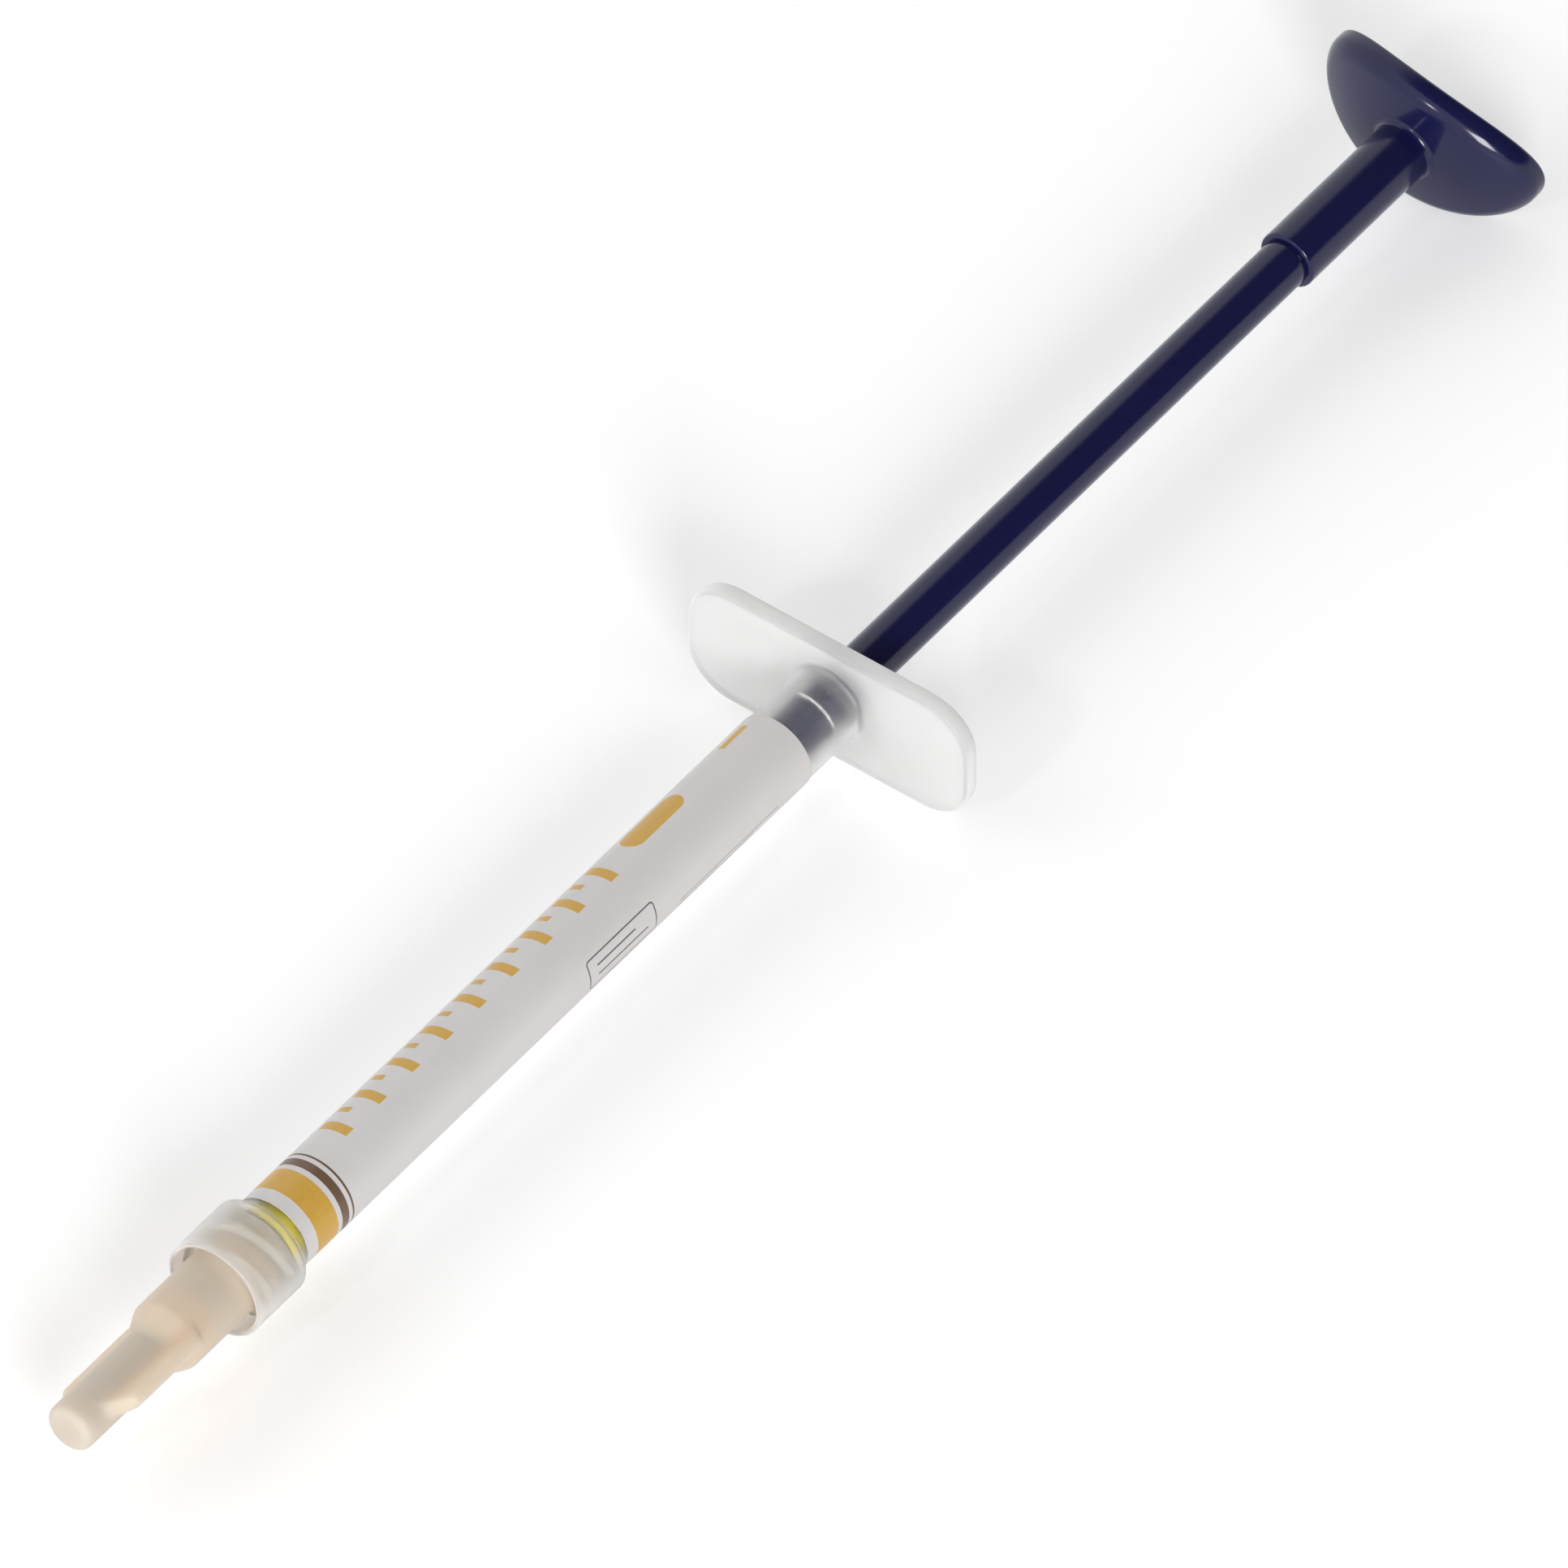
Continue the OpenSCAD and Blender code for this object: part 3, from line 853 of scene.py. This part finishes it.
def barrel_plastic():
    """Natural polypropylene: milky, with faint flow streaks, a satin skin and painted glints on the thread's
    crests.
    """
    g = Graph("natural_polypropylene")
    flow = g.noise(size=1.6, detail=3, stretch=(4, 1, 1))
    grain = g.noise(size=0.12, detail=2)
    flange = g.along(FLANGE_X, FLANGE_CLOUD)
    far = g.math("MULTIPLY", flange, g.outwards(BARREL_R, FLANGE_CLOUD_R))
    collar = g.along(COLLAR_REAR_X, COLLAR_CLOUD)
    rim = g.along(RIM_X, RIM_CLOUD)
    edge = g.edge_on(*EDGE_CLOUD)
    thread = g.nodes.new("ShaderNodeAttribute")
    thread.attribute_name = "thread"
    painted_crest_glint = thread.outputs["Fac"]
    tube = g.mix(flow, linear(251, 250, 248), linear(255, 254, 253))
    g.set(Base_Color=g.mix(collar, tube, linear(255, 250, 242)))
    rough = g.math("ADD", g.spread(flow, low=0.3, high=0.34), g.math("MULTIPLY", flange, FLANGE_ROUGHER))
    clear = CLEAR_MOST
    # The thread's crests cloud into whitish lines: painted glints of light on the thread.
    for share, loss in ((flange, 0.06), (far, 0.34), (collar, 0.16), (rim, 0.25), (edge, 0.5), (painted_crest_glint, 0.5)):
        clear = g.math("SUBTRACT", clear, g.math("MULTIPLY", share, loss))
    clear = g.math("MAXIMUM", clear, CLEAR_LEAST)
    g.set(Roughness=rough, IOR=1.49, Transmission_Weight=clear)
    g.set(Subsurface_Weight=1.0, Subsurface_Radius=(1.0, 0.97, 0.92), Subsurface_Scale=0.0015)
    g.bump(g.weigh((flow, 0.9), (grain, 0.1)), depth=0.004)
    return g.material


def cap_plastic():
    """Warm translucent polyethylene, soft inside and satin outside. Over the hollow body its tan is partly
    painted shade.
    """
    g = Graph("warm_polyethylene")
    flow = g.noise(size=2.2, detail=3, stretch=(3, 1, 1))
    grain = g.noise(size=0.15, detail=2)
    # Over the hollow body the tan is partly the plastic's own tint and partly painted shade of the cavity;
    # the solid nose is less warm.
    hollow = g.along(CAP_LOW.x, CORE_FADE)
    tan_and_hollow_shade = g.mix(flow, linear(235, 208, 185), linear(241, 217, 197))
    g.set(Base_Color=g.mix(hollow, linear(218, 206, 193), tan_and_hollow_shade))
    g.set(Roughness=g.spread(flow, low=0.4, high=0.5), IOR=1.47, Transmission_Weight=0.12)
    g.set(Subsurface_Weight=1.0, Subsurface_Radius=(1.0, 0.85, 0.68), Subsurface_Scale=0.0035)
    g.bump(g.weigh((flow, 0.9), (grain, 0.1)), depth=0.008)
    return g.material


def plunger_plastic():
    """Glossy navy plastic with the faint ripple of a moulded surface."""
    g = Graph("navy_plastic")
    ripple = g.noise(size=2.5, detail=2, stretch=(3, 1, 1))
    grain = g.noise(size=0.1, detail=2)
    g.set(Base_Color=g.mix(ripple, linear(18, 19, 62), linear(23, 23, 71)))
    g.set(Roughness=g.spread(g.noise(size=0.8, detail=3), low=0.11, high=0.17), IOR=1.45)
    g.bump(g.weigh((ripple, 0.96), (grain, 0.04)), depth=0.006)
    return g.material


def stopper_rubber():
    """Matt black rubber with a fine dusty grain."""
    g = Graph("black_rubber")
    dust = g.noise(size=0.5, detail=4)
    g.set(Base_Color=g.mix(dust, linear(28, 28, 30), linear(46, 46, 48)))
    g.set(Roughness=g.spread(dust, low=0.55, high=0.75))
    g.bump(g.noise(size=0.08, detail=2), depth=0.01)
    return g.material


def paste_stuff():
    """Thick yellow paste with a wet skin and small lumps."""
    g = Graph("yellow_paste")
    lumps = g.noise(size=0.9, detail=4)
    g.set(Base_Color=g.mix(lumps, linear(246, 229, 66), linear(252, 238, 92)))
    g.set(Roughness=g.spread(lumps, low=0.25, high=0.4))
    g.set(Subsurface_Weight=0.4, Subsurface_Radius=(1.0, 0.9, 0.4), Subsurface_Scale=0.001)
    g.bump(lumps, depth=0.05)
    return g.material


# Print on the film, in millimetres: along the tube from the label's front edge, round it from the middle line
GOLD_BAND = (1.2, 3.6)
BROWN_BANDS = ((4.1, 4.9), (5.3, 5.5))
# First and last bar, pitch and width of the bars, and their reach round the tube
LONG_BARS = (9.0, 41.0, 4.0, 0.95, -4.3, -1.5)
SHORT_BARS = (11.0, 39.0, 4.0, 0.6, -4.3, -3.0)
# Reach along the tube and round it, and the corners' radius
GOLD_PILL = (44.2, 50.8, -4.2, -2.0, 1.1)
GOLD_DASH = (56.6, 59.6, -4.0, -3.3, 0.1)
# Reach of the empty box along the tube and round it, its line's width and its corners' radius
EMPTY_BOX = (34.0, 42.0, 1.7, 4.3)
BOX_LINE = 0.12
BOX_CORNER = 0.3
# Reach of the rules along the tube and round it
GREY_RULES = (
    (35.0, 39.6, 2.45, 2.6),
    (35.0, 41.0, 3.3, 3.45),
    (45.0, 57.0, 3.9, 3.98),
    (45.0, 54.0, 4.4, 4.48),
)
# Width of the soft edge of the print
PRINT_EDGE = 0.03
# How much smoother the ink is than the film
INK_SMOOTHER = 0.12


def label_film():
    """White film with a plain print: gold and brown bands, a gold scale, a pill and thin grey rules."""
    g = Graph("printed_film")
    uv = g.nodes.new("ShaderNodeUVMap")
    uv.uv_map = "print_mm"
    spot = g.split(uv.outputs["UV"])
    along = spot["X"]
    across = spot["Y"]

    def inside(distance):
        """1 where a signed distance in millimetres is below zero, with a fine soft edge."""
        share = g.math("SUBTRACT", 0.5, g.math("MULTIPLY", distance, 1 / PRINT_EDGE))
        share.node.use_clamp = True
        return share

    def span(value, low, high):
        """Signed distance from a stretch of a coordinate."""
        off = g.math("ABSOLUTE", g.math("SUBTRACT", value, (low + high) / 2))
        return g.math("SUBTRACT", off, (high - low) / 2)

    def either(shares):
        """1 where any of the shares is 1."""
        total = shares[0]
        for share in shares[1:]:
            total = g.math("MAXIMUM", total, share)
        return total

    def block(low_u, high_u, low_v, high_v, corner_r=0.0):
        """A rectangle with rounded corners, as a signed distance."""
        du = g.math("ADD", span(along, low_u, high_u), corner_r)
        dv = g.math("ADD", span(across, low_v, high_v), corner_r)
        out_u = g.math("MAXIMUM", du, 0.0)
        out_v = g.math("MAXIMUM", dv, 0.0)
        far = g.math("SQRT", g.weigh((out_u, out_u), (out_v, out_v)))
        near = g.math("MINIMUM", g.math("MAXIMUM", du, dv), 0.0)
        return g.math("SUBTRACT", g.math("ADD", far, near), corner_r)

    def bars(first, last, pitch, width, low_v, high_v):
        """A row of equal bars across the label, as a signed distance."""
        phase = g.math("PINGPONG", g.math("SUBTRACT", along, first), pitch / 2)
        row = g.math("MAXIMUM", span(along, first - width, last + width), span(across, low_v, high_v))
        return g.math("MAXIMUM", g.math("SUBTRACT", phase, width / 2), row)

    box_line = g.math("SUBTRACT", g.math("ABSOLUTE", block(*EMPTY_BOX, BOX_CORNER)), BOX_LINE / 2)
    gold_forms = [span(along, *GOLD_BAND), bars(*LONG_BARS), bars(*SHORT_BARS)]
    gold_forms += [block(*GOLD_PILL), block(*GOLD_DASH)]
    gold = either([inside(form) for form in gold_forms])
    brown = either([inside(span(along, *band)) for band in BROWN_BANDS])
    grey = either([inside(form) for form in [box_line] + [block(*rule) for rule in GREY_RULES]])
    inked = either([gold, brown, grey])
    fibre = g.noise(size=0.35, detail=3)
    cloud = g.noise(size=6, detail=2)
    waves = g.noise(size=3.5, detail=2)
    paper = g.mix(cloud, linear(216, 212, 212), linear(224, 221, 220))
    ink = g.mix(fibre, linear(206, 160, 66), linear(220, 176, 82))
    colour = g.mix(gold, paper, ink)
    colour = g.mix(brown, colour, linear(112, 88, 68))
    colour = g.mix(grey, colour, linear(88, 86, 90))
    g.set(Base_Color=colour)
    rough = g.math("SUBTRACT", g.spread(fibre, low=0.4, high=0.5), g.math("MULTIPLY", inked, INK_SMOOTHER))
    g.set(Roughness=rough, IOR=1.48)
    g.bump(g.weigh((fibre, 0.25), (inked, 0.35), (waves, 0.5)), depth=0.02)
    return g.material


# Stage: floor, card, light and camera

# Floor: half its width and its drop below the object in metres, its grey, and its glow where it is seen
FLOOR_HALF = 2.2
FLOOR_DROP = 0.00002
FLOOR_GREY = 0.86
FLOOR_GLOW = 0.36

# Dark card: lean towards the front, distance, reach along the part and across it, and where it turns clear,
# in metres, and how clear it gets at the front
CARD_GREY = 0.12
CARD_TILT = 0.45
CARD_DISTANCE = 1.0
CARD_X = (-0.5, 1.9)
CARD_V = (-1.7, 2.0)
CARD_REAR_FADE = (-0.6, -1.4)
CARD_FRONT_FADE = (1.4, 2.0)
CARD_FRONT_CLEAR = 0.5

# Room: the dark ceiling comes lower on the camera's side, and that side is darker too
CEILING_LEAN = -0.45
CEILING_FADE = (0.4, 0.85)
CEILING_LEVEL = 0.1
CAMERA_SIDE_FADE = (-0.5, 0.2)
CAMERA_SIDE_LEVEL = 0.4
BACKGROUND_LEVEL = 1.0

# Lamps, pointed at the origin: name, place and width in metres, power in watts, whether reflections show it
LAMPS = (
    ("key", (-0.85, -1.0, 0.6), 0.5, 14, True),
    ("fill", (-0.6, 1.0, 0.7), 0.9, 2.5, False),
    ("sparkle", (-1.12, 0.03, 0.84), 0.12, 1.6, True),
)

# Camera: angles in degrees, aim beside the flange in millimetres, lens in millimetres, distances in metres
CAMERA_AZIMUTH = -53.0
CAMERA_ELEVATION = 46.4
CAMERA_AIM_RIGHT = -3.13
CAMERA_AIM_UP = -6.03
CAMERA_LENS = 633.5
CAMERA_SENSOR = 36
CAMERA_DISTANCE = 2.05
CAMERA_CLIP = (0.05, 50)


def add_sheet(name, material, corners):
    """A flat sheet through four corners."""
    mesh = bpy.data.meshes.new(name)
    mesh.from_pydata(corners, [], [(0, 1, 2, 3)])
    mesh.materials.append(material)
    sheet = bpy.data.objects.new(name, mesh)
    bpy.context.scene.collection.objects.link(sheet)
    return sheet


def grey_colour(level):
    """A grey shader colour."""
    return (level, level, level, 1)


def make_floor():
    """Pale plain floor under the object. From below it lets the view through."""
    g = Graph("pale_floor")
    g.set(Base_Color=grey_colour(FLOOR_GREY), Roughness=0.7, Emission_Color=grey_colour(1))
    g.set(Emission_Strength=g.math("MULTIPLY", g.shown_rays(), FLOOR_GLOW))
    g.let_through(g.back())
    signs = ((-1, -1), (1, -1), (1, 1), (-1, 1))
    floor = add_sheet("floor", g.material, [(FLOOR_HALF * x, FLOOR_HALF * y, 0) for x, y in signs])
    floor.location.z = -FLOOR_DROP


def make_card():
    """Dark studio card above the object, soft at its edges. Only reflections show it, and only from below."""
    down = Vector((0, CARD_TILT, -1)).normalized()
    front = down.cross(Vector((1, 0, 0)))
    g = Graph("dark_card")
    g.set(Base_Color=grey_colour(CARD_GREY), Roughness=0.9)
    reach = g.vector_math("DOT_PRODUCT", g.place, front)["Value"]
    rear_fade = g.step(reach, *CARD_REAR_FADE)
    front_fade = g.math("MULTIPLY", g.step(reach, *CARD_FRONT_FADE), CARD_FRONT_CLEAR)
    through = g.nodes.new("ShaderNodeLightPath").outputs["Is Transmission Ray"]
    passed = g.math("MAXIMUM", g.back(), through)
    g.let_through(g.math("MAXIMUM", passed, g.math("MAXIMUM", rear_fade, front_fade)))
    corners = []
    for i, j in ((0, 0), (1, 0), (1, 1), (0, 1)):
        corners.append(Vector((CARD_X[i], 0, 0)) + front * CARD_V[j] - down * CARD_DISTANCE)
    card = add_sheet("card", g.material, corners)
    card.visible_camera = False
    card.visible_diffuse = False
    card.visible_shadow = False


def make_lamp(name, place, size, power, mirrored):
    """A soft square lamp that points at the origin. It may be left out of reflections."""
    data = bpy.data.lights.new(name, "AREA")
    data.shape = "SQUARE"
    data.size = size
    data.energy = power
    lamp = bpy.data.objects.new(name, data)
    lamp.location = place
    lamp.rotation_mode = "QUATERNION"
    lamp.rotation_quaternion = (-Vector(place)).to_track_quat("-Z", "Y")
    lamp.visible_glossy = mirrored
    bpy.context.scene.collection.objects.link(lamp)


def make_world():
    """Pale room with a darker ceiling. The camera, reflections and clear pieces see the pale background."""
    world = bpy.data.worlds.new("studio")
    world.use_nodes = True
    g = Nodes(world.node_tree)
    place = g.split(g.nodes.new("ShaderNodeTexCoord").outputs["Generated"])
    height = g.math("ADD", g.math("MULTIPLY", place["Y"], CEILING_LEAN), place["Z"])
    ceiling = g.step(height, *CEILING_FADE, start=1.0, end=CEILING_LEVEL)
    side = g.step(place["Y"], *CAMERA_SIDE_FADE, start=CAMERA_SIDE_LEVEL, end=1.0)
    level = g.nodes.new("ShaderNodeMix")
    g.link(g.shown_rays(), level.inputs[0])
    g.link(g.math("MULTIPLY", ceiling, side), level.inputs[2])
    g.link(BACKGROUND_LEVEL, level.inputs[3])
    background = g.nodes["Background"]
    g.link(grey_colour(1), background.inputs["Color"])
    g.link(level.outputs[0], background.inputs["Strength"])
    bpy.context.scene.world = world


def make_camera():
    """Camera at the photograph's angle, far away with a long lens."""
    azimuth = math.radians(CAMERA_AZIMUTH)
    elevation = math.radians(CAMERA_ELEVATION)
    level = Vector((math.sin(azimuth), -math.cos(azimuth), 0))
    back = level * math.cos(elevation) + Vector((0, 0, math.sin(elevation)))
    right = Vector((math.cos(azimuth), math.sin(azimuth), 0))
    up = back.cross(right)
    aim = Vector((FLANGE_X, 0, AXIS_Z)) + right * CAMERA_AIM_RIGHT + up * CAMERA_AIM_UP
    data = bpy.data.cameras.new("camera")
    data.lens = CAMERA_LENS
    data.sensor_width = CAMERA_SENSOR
    data.clip_start, data.clip_end = CAMERA_CLIP
    camera = bpy.data.objects.new("camera", data)
    camera.location = aim * MM + back * CAMERA_DISTANCE
    camera.rotation_mode = "QUATERNION"
    camera.rotation_quaternion = (-back).to_track_quat("-Z", "Y")
    bpy.context.scene.collection.objects.link(camera)
    bpy.context.scene.camera = camera


def dress(piece, material, slot, body, *nodes):
    """Gives a piece its material, and lets it stand for CAD nodes on their body. slot is not used."""
    piece.data.materials.append(material)
    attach(piece, body)
    if nodes:
        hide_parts(*nodes)


make_camera()
make_world()
make_floor()
make_card()
for lamp_values in LAMPS:
    make_lamp(*lamp_values)

plunger_look = plunger_plastic()
paste_look = paste_stuff()
filling = make_filling()
channel_paste = make_channel_paste()
dress(make_barrel(), barrel_plastic(), "barrel_plastic", "barrel", "barrel")
dress(make_label(), label_film(), "label_film", "barrel", "label")
dress(make_cap(), cap_plastic(), "cap_plastic", "cap", "cap")
dress(make_rod(), plunger_look, "plunger_plastic", "plunger", "plunger_rod")
dress(make_thumb_rest(), plunger_look, "plunger_plastic", "plunger", "thumb_rest")
dress(make_stopper(), stopper_rubber(), "stopper_rubber", "stopper", "stopper")
dress(filling, paste_look, "paste", "barrel", "paste")
dress(channel_paste, paste_look, "paste", "barrel")
# With the plunger pushed in, what is kept of the paste ends just short of the stopper
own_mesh(filling)

bpy.context.scene.view_settings.view_transform = "Standard"
